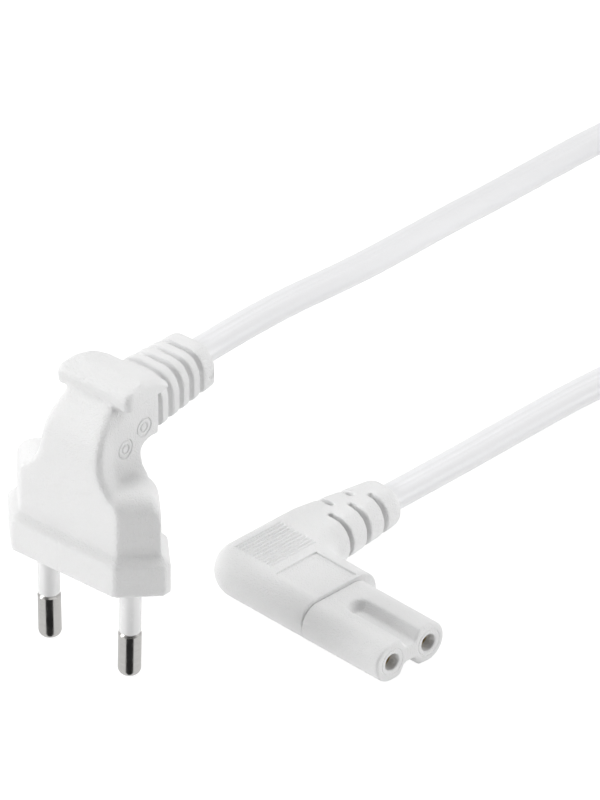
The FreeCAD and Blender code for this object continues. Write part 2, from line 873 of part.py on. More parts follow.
def make_plug_neck():
    """Return the neck that leans back to the strain relief."""
    under = size["exit_height"] - size["plug_relief_height"] / 2
    over = size["exit_height"] + size["plug_relief_height"] / 2
    root = size["plug_relief_root"]
    heel = BLOCK_Y + size["neck_heel_lean"]
    front = 0 - size["plate_depth"]
    corners = [
        (front, LEDGE_TOP),
        (BLOCK_Y, LEDGE_TOP),
        (BLOCK_Y, size["shoulder_height"] - size["shoulder_front_round"]),
        (heel, under),
        (root, under),
        (root, over - size["brow_groove"]),
        (size["plate_depth"] / 4, size["brow_under"] + 1),
        (front, size["brow_under"] + 1),
    ]
    rounds = {3: size["neck_heel_round"]}
    side = prism("plug_side", "YZ", corners, size["plate_length"], rounds, 0, True)
    levels = [neck_section(index, level) for index, level in enumerate(NECK_LEVELS, start=1)]
    stack = loft("plug_neck_stack", levels)
    stack.Ruled = False
    return common("plug_neck", side, stack)


def make_brow():
    """Return the finger flange that overhangs the neck at the top."""
    top = size["brow_top"]
    under = size["brow_under"]
    tail = size["brow_tail"]
    tail_top = size["exit_height"] + size["plug_relief_height"] / 2
    tail_under = tail_top - size["brow_tail_thickness"]
    half_tail = size["brow_tail_width"] / 2
    half_front = size["brow_width"] / 2
    front = size["brow_front"]
    corners = [
        (front + 0.4, under),
        (front, top - 0.3),
        (front + 5, top),
        (tail - 3.3, tail_top + 2.1),
        (tail, tail_top),
        (tail, tail_under),
        (front + 4.4, under),
    ]
    rounds = {1: size["brow_front_round"], 2: 3.5, 3: 6.0}
    side = prism("brow_side", "YZ", corners, size["brow_width"] * 2, rounds, 0, True)
    plan = [(-half_front, 0), (half_front, 0), (half_tail, tail + 1), (-half_tail, tail + 1)]
    cover = prism("brow_plan", "XY", plan, size["brow_top"] * 2)
    sharp = common("brow_sharp", side, cover)
    doc.recompute()
    softened = doc.addObject("Part::Fillet", "plug_brow")
    softened.Base = sharp
    radius = size["brow_end_round"].value
    softened.Edges = [(number, radius, radius) for number in brow_edges(sharp.Shape, under.value)]
    return softened


def brow_edges(shape, under):
    """Name the long edges of the brow's two ends, apart from those of its underside and its tail."""
    numbers = []
    for number, edge in enumerate(shape.Edges, start=1):
        reach = edge.BoundBox
        across = reach.XLength > size["brow_width"].value / 2
        below = reach.ZMax < under + 0.01
        at_tail = reach.YMin > size["brow_tail"].value - 0.01
        if not (across or below or at_tail):
            numbers.append(number)
    return numbers


def relief_section(name, half_width, half_height, place):
    """Return a section of the plug's strain relief: rounder above than below."""
    centre = size["exit_height"]
    corners = [
        (-half_width, centre - half_height),
        (half_width, centre - half_height),
        (half_width, centre + half_height),
        (-half_width, centre + half_height),
    ]
    above = half_height * 0.93
    below = half_height * 0.4
    rounds = {0: below, 1: below, 2: above, 3: above}
    return outline(name, "XZ", corners, rounds, place)


def make_ringed_relief():
    """Return the plug's strain relief: rings on a tapered core."""
    start = size["plug_relief_root"] - 2
    end = size["plug_relief_end"]
    wide = size["plug_relief_width"] / 2
    high = size["plug_relief_height"] / 2
    tip_wide = size["plug_relief_tip_width"] / 2
    tip_high = size["plug_relief_tip_height"] / 2
    deep = size["ring_depth"]
    outer = loft(
        "relief_outer",
        [relief_section("relief_root", wide, high, start), relief_section("relief_tip", tip_wide, tip_high, end)],
    )
    core = loft(
        "relief_core",
        [
            relief_section("core_root", wide - deep, high - deep, start),
            relief_section("core_tip", tip_wide - deep, tip_high - deep, end),
        ],
    )
    gaps = []
    for index in range(PLUG_GROOVES):
        low_y = size["ring_start"] + size["ring_pitch"] * index - size["ring_groove"] / 2
        corner = (-size["plug_relief_width"], low_y, 0)
        lengths = (size["plug_relief_width"] * 2, size["ring_groove"], size["brow_top"] * 2)
        gaps.append(box("ring_gap_" + str(index + 1), corner, lengths))
    rings = cut("relief_rings", outer, fuse("ring_gaps", gaps))
    return [rings, core]


def make_pin(name, side):
    """Return one round pin with its rounded tip, collar and crimped tail."""
    neck = PIN_NECK_RADIUS
    grip = size["strand_diameter"] / 2 + size["strand_clearance"]
    collar = size["pin_collar_diameter"] / 2
    low = size["pin_collar_start"]
    high = low + size["pin_collar_length"]
    tail = size["pin_tail"]
    corners = [
        (0, -size["pin_length"]),
        (PIN_RADIUS, -size["pin_length"]),
        (PIN_RADIUS, -size["sleeve_length"] - size["pin_shoulder_edge"]),
        (PIN_RADIUS - size["pin_shoulder_edge"], -size["sleeve_length"]),
        (neck, -size["sleeve_length"]),
        (neck, low),
        (collar, low),
        (collar, high),
        (neck, high),
        (neck, tail),
        (grip, tail),
        (grip, tail - size["pin_grip"]),
        (0, tail - size["pin_grip"]),
    ]
    pin = turned(name, corners, {1: size["pin_tip_round"]})
    pin.Placement = pin_place(side)
    return pin


def make_sleeve(name, side):
    """Return the insulating sleeve on the upper half of one pin."""
    outer = size["sleeve_diameter"] / 2
    low = -size["sleeve_length"]
    high = size["sleeve_seat"]
    edge = size["sleeve_edge"]
    corners = [
        (PIN_NECK_RADIUS, low),
        (outer - edge, low),
        (outer, low + edge),
        (outer, high),
        (PIN_NECK_RADIUS, high),
    ]
    sleeve = turned(name, corners)
    sleeve.Placement = pin_place(side)
    return sleeve


def pin_place(side):
    """Return the place of a pin, which leans in by the toe angle."""
    local = Placement(Vector(side * PIN_X.value, 0, 0), Rotation(Vector(0, 1, 0), side * size["pin_toe"].value))
    return PLUG_PLACE.multiply(local)


def make_plug_wires():
    """Return the two cores inside the plug, from the cord's end down to the pins."""
    lean = tangent(size["pin_toe"]).value
    height = size["exit_height"].value
    tail = size["pin_tail"].value
    grip_end = tail - size["pin_grip"].value
    wires = []
    for name, side in (("plug_core_brown", 1), ("plug_core_blue", -1)):
        column = side * HALF_CORE.value
        turn = tail + size["core_bend"].value * 0.8
        points = [
            Vector(column, size["plug_relief_end"].value - size["cord_seat"].value, height),
            Vector(column, size["neck_heel_lean"].value, height),
            Vector(side * size["neck_width"].value * 0.28, 0, size["shoulder_height"].value),
            Vector(side * (PIN_X.value + turn * lean), 0, turn),
            Vector(side * (PIN_X.value + grip_end * lean), 0, grip_end),
        ]
        strip = size["pin_grip"].value + size["strip_gap"].value
        bends = [size["core_bend"].value] * 3
        wires.extend(make_wire(name, points, strip, bends, PLUG_PLACE))
    return wires


def make_plug():
    """Return the plug's pieces."""
    pins = [make_pin("plug_pin_left", -1), make_pin("plug_pin_right", 1)]
    sleeves = [make_sleeve("plug_pin_sleeve_left", -1), make_sleeve("plug_pin_sleeve_right", 1)]
    wires = make_plug_wires()
    half_x = size["carrier_length"] / 2
    half_y = size["carrier_depth"] / 2
    corners = [(-half_x, -half_y), (half_x, -half_y), (half_x, half_y), (-half_x, half_y)]
    soft = size["ledge_width"]
    bridge = prism("carrier_blank", "XY", corners, size["carrier_height"], {i: soft for i in range(4)})
    bridge.Placement = PLUG_PLACE
    pin_room = fuse("pin_room", pins + sleeves)
    carrier = cut("plug_pin_carrier", bridge, pin_room)
    form = fuse(
        "plug_form",
        make_plug_base() + [make_plug_block(), make_plug_neck(), make_brow()] + make_ringed_relief(),
    )
    form.Placement = PLUG_PLACE
    start = Vector(0, size["plug_relief_end"].value - size["cord_seat"].value, size["exit_height"].value)
    seat = seat_prism(
        "plug_cord_seat", start, Vector(0, 1, 0), Vector(1, 0, 0), size["cord_seat"].value + 1, PLUG_PLACE
    )
    room = fuse("plug_room", [bridge, seat] + pins + wires)
    body = cut("plug_body", form, room)
    return [body, carrier] + pins + sleeves + wires


# Cord

# Route of the cord from a point straight out of the connector to the coil, chosen by hand
CONNECTOR_ROUTE = [
    (-16.7, 54.9, 2.6),
    (-17.5, 72.6, 2.0),
    (-15.3, 87.6, 2.1),
    (-8.7, 100.7, 2.5),
    (1.4, 110.3, 3.1),
    (14.9, 116.6, 3.5),
]

# Route of the cord from a point straight out of the plug to the coil, chosen by hand
PLUG_ROUTE = [
    (-27.9, 24.2, 41.8),
    (-34.9, 44.3, 35.6),
    (-43.5, 62.7, 28.0),
    (-50.9, 80.7, 21.2),
    (-57.5, 98.3, 15.4),
    (-61.9, 116.6, 11.6),
    (-62.9, 136.6, 9.9),
    (-58.2, 154.0, 9.5),
    (-46.6, 168.6, 9.4),
    (-33.3, 179.1, 9.4),
]


def make_run(name, leaving, route, coil):
    """Return one stretch of the flat cord, trimmed where it meets the coil, and report its bends."""
    points = leaving + [Vector(*point) for point in route]
    radii = widest_radii(points)
    path = rounded_wire(points, radii)
    along = points[1] - points[0]
    flat = along.cross(Vector(0, 0, 1))
    width = size["cord_width"].value
    height = size["cord_height"].value
    section = oval_wire(width, height, points[0], along.normalize(), flat)
    tube = sweep(path, section)
    expected = Part.Face(section).Area * path.Length
    print(name, "radii", [round(radius, 1) for radius in radii], "length", round(path.Length, 1))
    print(name, "volume", round(tube.Volume, 1), "section times length", round(expected, 1))
    return feature(name, tube.cut(coil))


def make_cord():
    """Return the cord's two runs, the coil between them and its tie."""
    low = size["tie_thickness"]
    inner = size["coil_inner_diameter"] / 2
    outer = size["coil_outer_diameter"] / 2
    high = low + size["coil_height"]
    coil = turned("cord_coil", [(inner, low), (outer, low), (outer, high), (inner, high)])
    bind(coil, Placement__Base__x=size["coil_x"], Placement__Base__y=size["coil_y"])
    doc.recompute()
    seat = -size["cord_seat"].value
    leg_end = RELIEF_END_Y.value
    plug_end = size["plug_relief_end"].value
    height = size["exit_height"].value
    from_connector = [
        Vector(LEG_X.value, leg_end + reach, AXIS_Z.value) for reach in (seat, size["connector_lead"].value)
    ]
    from_plug = [
        PLUG_PLACE.multVec(Vector(0, plug_end + reach, height)) for reach in (seat, size["plug_lead"].value)
    ]
    first = make_run("cord_connector_run", from_connector, CONNECTOR_ROUTE, coil.Shape)
    second = make_run("cord_plug_run", from_plug, PLUG_ROUTE, coil.Shape)
    return [first, coil, second, make_tie(inner, outer, high)]


def make_tie(inner, outer, high):
    """Return the strap round one side of the coil."""
    slack = size["tie_clearance"]
    thick = size["tie_thickness"]
    half = size["tie_width"] / 2
    near = size["coil_x"] + inner - slack
    length = outer - inner + slack * 2
    low_y = size["coil_y"] - half
    strap_high = high + slack
    outside = box(
        "tie_outside", (near - thick, low_y, 0), (length + thick * 2, size["tie_width"], strap_high + thick)
    )
    inside = box("tie_inside", (near, low_y - 1, thick), (length, size["tie_width"] + 2, strap_high - thick))
    return cut("coil_tie", outside, inside)


def check_document():
    """Stop if any object of the document failed."""
    for item in doc.Objects:
        if "Invalid" in item.State or "Error" in item.State:
            raise RuntimeError(item.Name + " failed: " + ", ".join(item.State))


def write_parts(pieces):
    """Check each piece and write it as a STEP file named after its label."""
    os.makedirs("parts", exist_ok=True)
    for piece in pieces:
        piece.Label = piece.Name
        shape = piece.Shape
        if shape.isNull() or not shape.isValid():
            raise RuntimeError(piece.Label + " has no valid shape")
        shape.exportStep(os.path.join("parts", piece.Label + ".step"))
        print(piece.Label, len(shape.Solids), round(shape.Volume, 1))


pieces = make_connector() + make_cord() + make_plug()
doc.recompute()
check_document()
write_parts(pieces)
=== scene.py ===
# %% [markdown]
# # A white mains lead with a figure-eight connector
#
# This lesson dresses a small household lead: a right-angled figure-eight connector, a flat
# two-core cord and a flat two-pin plug. The construction comes in as a fixed frame of solids at
# their real size. The work here is what the eye sees: the lie of the cord, the moulded forms of
# the two soft bodies, and the finish of white vinyl, hard plastic and nickel-plated pins.

# %% Load the frame
import math

import bmesh
import bpy
from mathutils import Matrix, Vector


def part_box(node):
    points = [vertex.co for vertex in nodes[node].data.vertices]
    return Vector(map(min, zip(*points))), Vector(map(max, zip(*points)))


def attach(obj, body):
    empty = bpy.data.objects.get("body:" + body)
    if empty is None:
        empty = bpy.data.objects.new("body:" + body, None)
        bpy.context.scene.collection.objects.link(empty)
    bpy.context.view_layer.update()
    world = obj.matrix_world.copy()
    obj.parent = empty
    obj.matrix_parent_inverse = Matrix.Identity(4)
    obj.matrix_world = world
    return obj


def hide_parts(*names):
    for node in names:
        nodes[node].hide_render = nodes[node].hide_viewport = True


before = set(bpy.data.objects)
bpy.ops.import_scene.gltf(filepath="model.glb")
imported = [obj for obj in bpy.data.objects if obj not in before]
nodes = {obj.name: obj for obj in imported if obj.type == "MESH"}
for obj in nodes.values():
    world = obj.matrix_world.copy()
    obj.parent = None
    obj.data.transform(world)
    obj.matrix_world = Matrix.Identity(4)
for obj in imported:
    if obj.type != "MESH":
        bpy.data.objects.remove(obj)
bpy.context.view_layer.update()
scene = bpy.context.scene
MM = 0.001
ROOT = "root"
print("loaded", len(nodes), "solids")

# %% [markdown]
# ## Where things are
#
# The frame has its origin under the middle of the connector, with the nose along +X and the cord
# along +Y. The places of its parts could be typed in, but here they are read from the solids'
# boxes, so that the scene always agrees with the solids.

# %% Places on the connector
LEG_HALF_WIDTH = 6.8


def middle(name):
    """Return the middle of a solid's box."""
    low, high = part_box(name)
    return (low + high) / 2


body_low, body_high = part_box("connector_body")
FACE_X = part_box("connector_nose")[1].x
NOSE_Y = middle("connector_nose").y
AXIS_Z = middle("connector_nose").z
LEG_X = body_low.x + LEG_HALF_WIDTH * MM
LEG_END_Y = body_high.y
print("nose's face at x", round(FACE_X / MM, 2), "and the leg's end at y", round(LEG_END_Y / MM, 2))

# %% [markdown]
# The plug has a frame of its own: x from pin to pin, y along its cord and z up from the face that
# meets the socket. It stands a little turned, so one matrix takes points from the plug's frame,
# in millimetres, to the lead's frame, in metres. The turn comes from the line between the pins.

# %% The plug's own frame
from_pin_to_pin = middle("plug_pin_right") - middle("plug_pin_left")
plug_turn = math.atan2(from_pin_to_pin.y, from_pin_to_pin.x)
plug_origin = middle("plug_pin_carrier")
plug_origin.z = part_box("plug_pin_carrier")[0].z
LEAD = Matrix.Scale(MM, 4)
PLUG = Matrix.Translation(plug_origin) @ Matrix.Rotation(plug_turn, 4, "Z") @ LEAD
print("plug stands at", [round(value / MM, 2) for value in plug_origin])


def plug_point(x, y, z):
    """Take a point of the plug, in millimetres, to the lead's frame, in metres."""
    return PLUG @ Vector((x, y, z))


# %% [markdown]
# ## The camera
#
# The lead was photographed from well above and far away: the two stretches of cord stay as wide
# at the far edge as near the plug, so the view is almost free of perspective. A parallel camera
# would be close to that, but a very long lens far away keeps the last trace of perspective. It
# stands less than a hundred times the lead's radius away, so that the views from other sides,
# which keep the distance, still reach the lead. The camera is aimed so that the middle of the
# nose's face falls on its place in the picture.

# %% Camera
AZIMUTH = math.radians(45.5)
ELEVATION = math.radians(33)
PICTURE = (600, 800)
PIXELS_PER_METRE = 5930
FACE_PIXEL = (410.5, 652.5)
LENS = 1200
SENSOR = 36
FARTHEST_SEEN = 50

back = Vector((
    math.sin(AZIMUTH) * math.cos(ELEVATION),
    -math.cos(AZIMUTH) * math.cos(ELEVATION),
    math.sin(ELEVATION),
))
right = Vector((math.cos(AZIMUTH), math.sin(AZIMUTH), 0))
upward = back.cross(right)
distance = PICTURE[1] / PIXELS_PER_METRE * LENS / SENSOR
face_middle = Vector((FACE_X, NOSE_Y, AXIS_Z))
across = (PICTURE[0] / 2 - FACE_PIXEL[0]) / PIXELS_PER_METRE
rise = (FACE_PIXEL[1] - PICTURE[1] / 2) / PIXELS_PER_METRE
target = face_middle + right * across + upward * rise

camera_data = bpy.data.cameras.new("camera")
camera_data.lens = LENS
camera_data.sensor_width = SENSOR
camera_data.clip_end = FARTHEST_SEEN
camera = bpy.data.objects.new("camera", camera_data)
scene.collection.objects.link(camera)
camera.location = target + back * distance
camera.rotation_mode = "QUATERNION"
camera.rotation_quaternion = (-back).to_track_quat("-Z", "Y")
scene.camera = camera
print("camera stands", round(distance, 2), "m away")

# %% [markdown]
# ## Shader maths
#
# A finish is a formula over the surface. Its nodes could be added and joined one by one, but two
# small classes keep the formulas readable. One wraps a socket, so that plus, minus and times
# stand for maths nodes, and the other adds any node to a tree.

# %% Classes for shader trees


class Value:
    """A shader socket that takes part in sums, so that a formula reads as a formula."""

    def __init__(self, graph, socket):
        self.graph = graph
        self.socket = socket

    def operate(self, operation, *inputs):
        return self.graph.add("ShaderNodeMath", {"operation": operation}, dict(enumerate(inputs)))

    def __add__(self, other):
        return self.operate("ADD", self, other)

    def __sub__(self, other):
        return self.operate("SUBTRACT", self, other)

    def __rsub__(self, other):
        return self.operate("SUBTRACT", other, self)

    def __mul__(self, other):
        return self.operate("MULTIPLY", self, other)

    __radd__ = __add__
    __rmul__ = __mul__

    def spread(self, low, high, to_low, to_high, smooth=False):
        """Map one range of values to another and hold it there."""
        kind = "SMOOTHSTEP" if smooth else "LINEAR"
        return self.graph.add("ShaderNodeMapRange", {"interpolation_type": kind}, {
            "Value": self, "From Min": low, "From Max": high, "To Min": to_low, "To Max": to_high,
        })


class Graph:
    """A node tree that adds nodes by type, with their settings first and their inputs after."""

    def __init__(self, tree):
        self.tree = tree
        self.tree.nodes.clear()

    def add(self, kind, settings=None, inputs=None, output=0):
        node = self.tree.nodes.new(kind)
        for name, value in (settings or {}).items():
            setattr(node, name, value)
        for name, value in (inputs or {}).items():
            if isinstance(value, Value):
                self.tree.links.new(value.socket, node.inputs[name])
            else:
                node.inputs[name].default_value = value
        return Value(self, node.outputs[output])

    def finish(self, kind, surface):
        """Join a shader to the tree's output."""
        end = self.tree.nodes.new(kind)
        self.tree.links.new(surface.socket, end.inputs["Surface"])


def grey(brightness):
    """Return an opaque grey."""
    return (brightness, brightness, brightness, 1)


print("shader maths is ready")

# %% [markdown]
# ## Light and ground
#
# The product stands on plain white in even studio light. A dome lights it from all sides, and is
# dim behind the photograph's camera, because faces that look straight at the camera are the darker
# ones there. The dim part is fixed in the room: it doesn't follow the camera to other views. It
# also shows as a dark stripe in the bare pins. The camera itself sees plain white.

# %% World
DOME_LEVEL = 0.62
BEHIND_CAMERA = 0.12
DIM_FROM = 0.3
DIM_FULLY = 0.95

scene.view_settings.view_transform = "Standard"
world = bpy.data.worlds.new("studio")
scene.world = world
world.use_nodes = True
dome = Graph(world.node_tree)

direction = dome.add("ShaderNodeTexCoord", output=0)
towards_camera = dome.add(
    "ShaderNodeVectorMath", {"operation": "DOT_PRODUCT"}, {0: direction, 1: back}, output=1
)
shade = towards_camera.spread(DIM_FROM, DIM_FULLY, 1.0, BEHIND_CAMERA, smooth=True)
camera_ray = dome.add("ShaderNodeLightPath", output="Is Camera Ray")
level = camera_ray + (1 - camera_ray) * shade * DOME_LEVEL
sky = dome.add("ShaderNodeBackground", {}, {"Color": grey(1), "Strength": level})
dome.finish("ShaderNodeOutputWorld", sky)
print("dome level", DOME_LEVEL)

# %% [markdown]
# Three soft boxes give the forms their light and shade. The strongest stands low at the left and
# lights the plug's broad front, one hangs above, and one stands low at the right, on the side of
# the connector's nose. A point lamp would draw hard edges. Square lamps of about half a metre give
# the soft ones of studio light. Sizes are in metres and power is in watts.

# %% Lamps
LAMPS = {
    "left_box": {"place": (-0.62, -0.8, 0.42), "size": 0.5, "power": 6.2},
    "top_box": {"place": (-0.1, 0.15, 0.9), "size": 0.4, "power": 3.6},
    "right_box": {"place": (0.8, 0.6, 0.3), "size": 0.5, "power": 3.4},
}


def soft_box(name, place, size, power):
    """Add a square lamp that looks at the middle of the picture."""
    lamp_data = bpy.data.lights.new(name, "AREA")
    lamp_data.shape = "SQUARE"
    lamp_data.size = size
    lamp_data.energy = power
    lamp = bpy.data.objects.new(name, lamp_data)
    scene.collection.objects.link(lamp)
    lamp.location = place
    lamp.rotation_mode = "QUATERNION"
    lamp.rotation_quaternion = (target - Vector(place)).to_track_quat("-Z", "Y")


for name, lamp in LAMPS.items():
    soft_box(name, **lamp)
print(len(LAMPS), "soft boxes")

# %% [markdown]
# The floor is a white sweep: one flat sheet, just under the lead, that reaches past the picture.

# %% Floor
FLOOR_HALF = 3.0
FLOOR_DROP = 0.05

floor_mesh = bpy.data.meshes.new("floor")
plan = bmesh.new()
bmesh.ops.create_grid(plan, x_segments=1, y_segments=1, size=FLOOR_HALF)
plan.to_mesh(floor_mesh)
plan.free()
floor = bpy.data.objects.new("floor", floor_mesh)
scene.collection.objects.link(floor)
floor.location.z = -FLOOR_DROP * MM
print("floor", FLOOR_HALF * 2, "m wide")

# %% [markdown]
# To the camera the sweep is nearly as bright as the background, so only a faint trace of shadow
# stays. Its light on the lead is that of white paper plus a painted glow, which lifts the lead's
# undersides and low faces. Seen in the bright pins, the part of the floor towards the photograph's
# camera is a painted dark stripe, a painted reflection of the unlit front of a studio. So it takes
# three surfaces, and the kind of ray chooses between them.

# %% Paper of the floor
SEEN_PAPER = 0.25
SEEN_GLOW = 0.9
LIGHTING_PAPER = 0.8
# painted light: the floor's glow lights the lead's undersides as a fill lamp would
LIGHTING_GLOW = 0.3
STRIPE_HALF_ANGLE = math.radians(36)
STRIPE_OUTER = 0.05
STRIPE_INNER = 0.02
MIRRORED_BRIGHT = 0.75
MIRRORED_DARK = 0.02

floor_material = bpy.data.materials.new("white_sweep")
floor_material.use_nodes = True
ground = Graph(floor_material.node_tree)


def glowing_paper(colour, glow):
    """Return a matt surface that also gives off some light."""
    paper = ground.add("ShaderNodeBsdfDiffuse", {}, {"Color": grey(colour)})
    light = ground.add("ShaderNodeEmission", {}, {"Color": grey(1), "Strength": glow})
    return ground.add("ShaderNodeAddShader", {}, {0: paper, 1: light})


seen_paper = glowing_paper(SEEN_PAPER, SEEN_GLOW)
lighting_paper = glowing_paper(LIGHTING_PAPER, LIGHTING_GLOW)

# painted reflection: for mirror rays the floor glows dark in a stripe towards the photograph's camera
level_back = Vector((back.x, back.y, 0)).normalized()
incoming = ground.add("ShaderNodeNewGeometry", output="Incoming")
flat_incoming = ground.add("ShaderNodeVectorMath", {"operation": "MULTIPLY"}, {0: incoming, 1: (-1, -1, 0)})
heading = ground.add("ShaderNodeVectorMath", {"operation": "NORMALIZE"}, {0: flat_incoming})
ahead = ground.add("ShaderNodeVectorMath", {"operation": "DOT_PRODUCT"}, {0: heading, 1: level_back}, output=1)
stripe = math.cos(STRIPE_HALF_ANGLE)
mirrored_level = ahead.spread(
    stripe - STRIPE_OUTER, stripe + STRIPE_INNER, MIRRORED_BRIGHT, MIRRORED_DARK, smooth=True
)
mirrored = ground.add("ShaderNodeEmission", {}, {"Color": grey(1), "Strength": mirrored_level})

glossy_ray = ground.add("ShaderNodeLightPath", output="Is Glossy Ray")
unseen = ground.add("ShaderNodeMixShader", {}, {0: glossy_ray, 1: lighting_paper, 2: mirrored})
seen = ground.add("ShaderNodeLightPath", output="Is Camera Ray")
sweep = ground.add("ShaderNodeMixShader", {}, {0: seen, 1: unseen, 2: seen_paper})
ground.finish("ShaderNodeOutputMaterial", sweep)
floor_mesh.materials.append(floor_material)
print("dark stripe", round(math.degrees(STRIPE_HALF_ANGLE) * 2), "degrees wide")

# %% [markdown]
# ## Materials
#
# Nearly all of the lead is moulded, so one recipe serves all of it. A plain colour would look like
# wax. Three scales of variation help: a slow cloud shifts the colour a little, a medium noise
# stands for handling and wear and shifts the gloss, and a fine grain in the bump stands for the
# spark-eroded surface of the mould. Widths of marks are real ones, in millimetres. Most values of a
# noise lie near its middle, so only that band of it is spread over a range.

# %% One recipe for moulded surfaces
MOST_OF_NOISE = (0.3, 0.7)
MIDDLE_OF_NOISE = (0.35, 0.65)
CLOUD_WIDTH = 9.0
WEAR_WIDTH = 1.3
TINT = 0.03
PALER = 1.12
DARKER = 0.88
GLOSS_SHIFT = 0.06
WEAR_HEIGHT = 0.08
BUMP_HEIGHT = 0.2


def moulded(name, colour, roughness, grain, relief, coat=0.0, metallic=0.0):
    """Return a material whose colour, gloss and grain vary over the surface."""
    material = bpy.data.materials.new(name)
    material.use_nodes = True
    graph = Graph(material.node_tree)
    place = graph.add("ShaderNodeTexCoord", output="Object")

    def noise(width, detail):
        """Return a noise whose marks are about as wide as a length in millimetres."""
        return graph.add("ShaderNodeTexNoise", {}, {
            "Vector": place, "Scale": 1 / (width * MM), "Detail": detail, "Roughness": 0.5,
        })

    cloud = noise(CLOUD_WIDTH, 2.0)
    wear = noise(WEAR_WIDTH, 3.0)
    fine = noise(grain, 2.0)
    shift = cloud.spread(*MIDDLE_OF_NOISE, -TINT / 2, TINT / 2)
    shift += fine.spread(*MIDDLE_OF_NOISE, -TINT / 2, TINT / 2)
    paler = [min(value * PALER, 1) for value in colour]
    darker = [value * DARKER for value in colour]
    tone = graph.add("ShaderNodeMix", {"data_type": "RGBA"}, {
        0: shift + 0.5, 6: (*darker, 1), 7: (*paler, 1),
    }, output=2)
    gloss = wear.spread(*MOST_OF_NOISE, roughness - GLOSS_SHIFT, roughness + GLOSS_SHIFT)
    height = fine + wear * WEAR_HEIGHT
    bumped = graph.add("ShaderNodeBump", {}, {
        "Strength": relief, "Distance": BUMP_HEIGHT * MM, "Height": height,
    })
    shader = graph.add("ShaderNodeBsdfPrincipled", {}, {
        "Base Color": tone, "Roughness": gloss, "Metallic": metallic, "Coat Weight": coat, "Normal": bumped,
    })
    graph.finish("ShaderNodeOutputMaterial", shader)
    return material


# %% [markdown]
# Each finish is then one line of numbers. The soft bodies and the hard nose came from eroded
# moulds, so they have the most relief. The cord is drawn and the sleeves are polished, so theirs
# is slight. Contacts, cores and strands are hidden in the finished lead and have plain finishes.

# %% Finishes
FINISHES = {
    "body_vinyl": {"colour": (0.8, 0.8, 0.8), "roughness": 0.4, "grain": 0.27, "relief": 0.9},
    "nose_plastic": {"colour": (0.79, 0.79, 0.79), "roughness": 0.36, "grain": 0.25, "relief": 0.8},
    "cord_vinyl": {"colour": (0.79, 0.79, 0.8), "roughness": 0.36, "grain": 0.5, "relief": 0.1},
    "sleeve_plastic": {
        "colour": (0.78, 0.78, 0.78), "roughness": 0.22, "grain": 0.5, "relief": 0.06, "coat": 0.3,
    },
    "contact_metal": {
        "colour": (0.72, 0.56, 0.28), "roughness": 0.3, "grain": 0.2, "relief": 0.1, "metallic": 1.0,
    },
    "core_brown": {"colour": (0.2, 0.09, 0.04), "roughness": 0.4, "grain": 0.4, "relief": 0.15},
    "core_blue": {"colour": (0.04, 0.14, 0.42), "roughness": 0.4, "grain": 0.4, "relief": 0.15},
    "copper": {
        "colour": (0.75, 0.36, 0.2), "roughness": 0.35, "grain": 0.2, "relief": 0.3, "metallic": 1.0,
    },
    "tie_strap": {"colour": (0.74, 0.74, 0.74), "roughness": 0.8, "grain": 0.25, "relief": 0.8},
}
MATERIALS = {name: moulded(name, **finish) for name, finish in FINISHES.items()}
print(len(MATERIALS), "moulded materials")

# %% [markdown]
# The pins are turned and plated, and keep the fine rings of the lathe. Rings could be cut into the
# mesh, but they are far too fine for that. A noise that is squeezed along the height gives them:
# it changes quickly along a pin and hardly at all across it.

# %% Nickel-plated pins
NICKEL = (0.72, 0.71, 0.69)
NICKEL_ROUGHNESS = (0.15, 0.27)
RING_SQUEEZE = (300, 300, 9000)
STAIN_SCALE = 600
RING_SHADE = 0.9
RING_RELIEF = 0.12
RING_HEIGHT = 0.02

pin_metal = bpy.data.materials.new("pin_metal")
pin_metal.use_nodes = True
plated = Graph(pin_metal.node_tree)
place = plated.add("ShaderNodeTexCoord", output="Object")
squeezed = plated.add("ShaderNodeMapping", {}, {"Vector": place, "Scale": RING_SQUEEZE})
rings = plated.add("ShaderNodeTexNoise", {}, {"Vector": squeezed, "Scale": 1.0, "Detail": 2.0})
stain = plated.add("ShaderNodeTexNoise", {}, {"Vector": place, "Scale": STAIN_SCALE, "Detail": 3.0})
gloss = stain.spread(*MOST_OF_NOISE, *NICKEL_ROUGHNESS)
tone = plated.add("ShaderNodeMix", {"data_type": "RGBA"}, {
    0: rings.spread(*MOST_OF_NOISE, 0.0, 1.0),
    6: (*[value * RING_SHADE for value in NICKEL], 1),
    7: (*NICKEL, 1),
}, output=2)
bumped = plated.add("ShaderNodeBump", {}, {
    "Strength": RING_RELIEF, "Distance": RING_HEIGHT * MM, "Height": rings,
})
bright = plated.add("ShaderNodeBsdfPrincipled", {}, {
    "Base Color": tone, "Roughness": gloss, "Metallic": 1.0, "Normal": bumped,
})
plated.finish("ShaderNodeOutputMaterial", bright)
MATERIALS["pin_metal"] = pin_metal
print("pins are nickel")

# %% [markdown]
# Every solid gets its finish, also the hidden ones, because the frame is shown as it is wherever
# no skin takes its place. A word in the solid's name tells which finish it has. The first word
# that fits counts, so the narrower words stand first.

# %% Finishes of the solids
SOLID_FINISH = {
    "nose": "nose_plastic",
    "contact": "contact_metal",
    "carrier": "nose_plastic",
    "sleeve": "sleeve_plastic",
    "core_brown": "core_brown",
    "core_blue": "core_blue",
    "strands": "copper",
    "plug_pin_left": "pin_metal",
    "plug_pin_right": "pin_metal",
    "cord": "cord_vinyl",
    "tie": "tie_strap",
    "body": "body_vinyl",
}
for name, node in nodes.items():
    finish = next(slot for word, slot in SOLID_FINISH.items() if word in name)
    node.data.materials.clear()
    node.data.materials.append(MATERIALS[finish])
    print(name, "is", finish)

# %% [markdown]
# ## Soft skins
#
# The two moulded bodies are soft all over: no edge is sharp, and the neck flows into the
# shoulders. Rounding each edge of a solid gives circular fillets, which look machined. So each
# body gets a skin: the solid's mesh is copied, its seams are merged and it is remade as small even
# squares, which then settle towards each other wherever the moulding is softest. Squares of one
# size settle evenly, which is why the remake comes first.

# %% Tools for soft forms
SEAM_GAP = 0.002


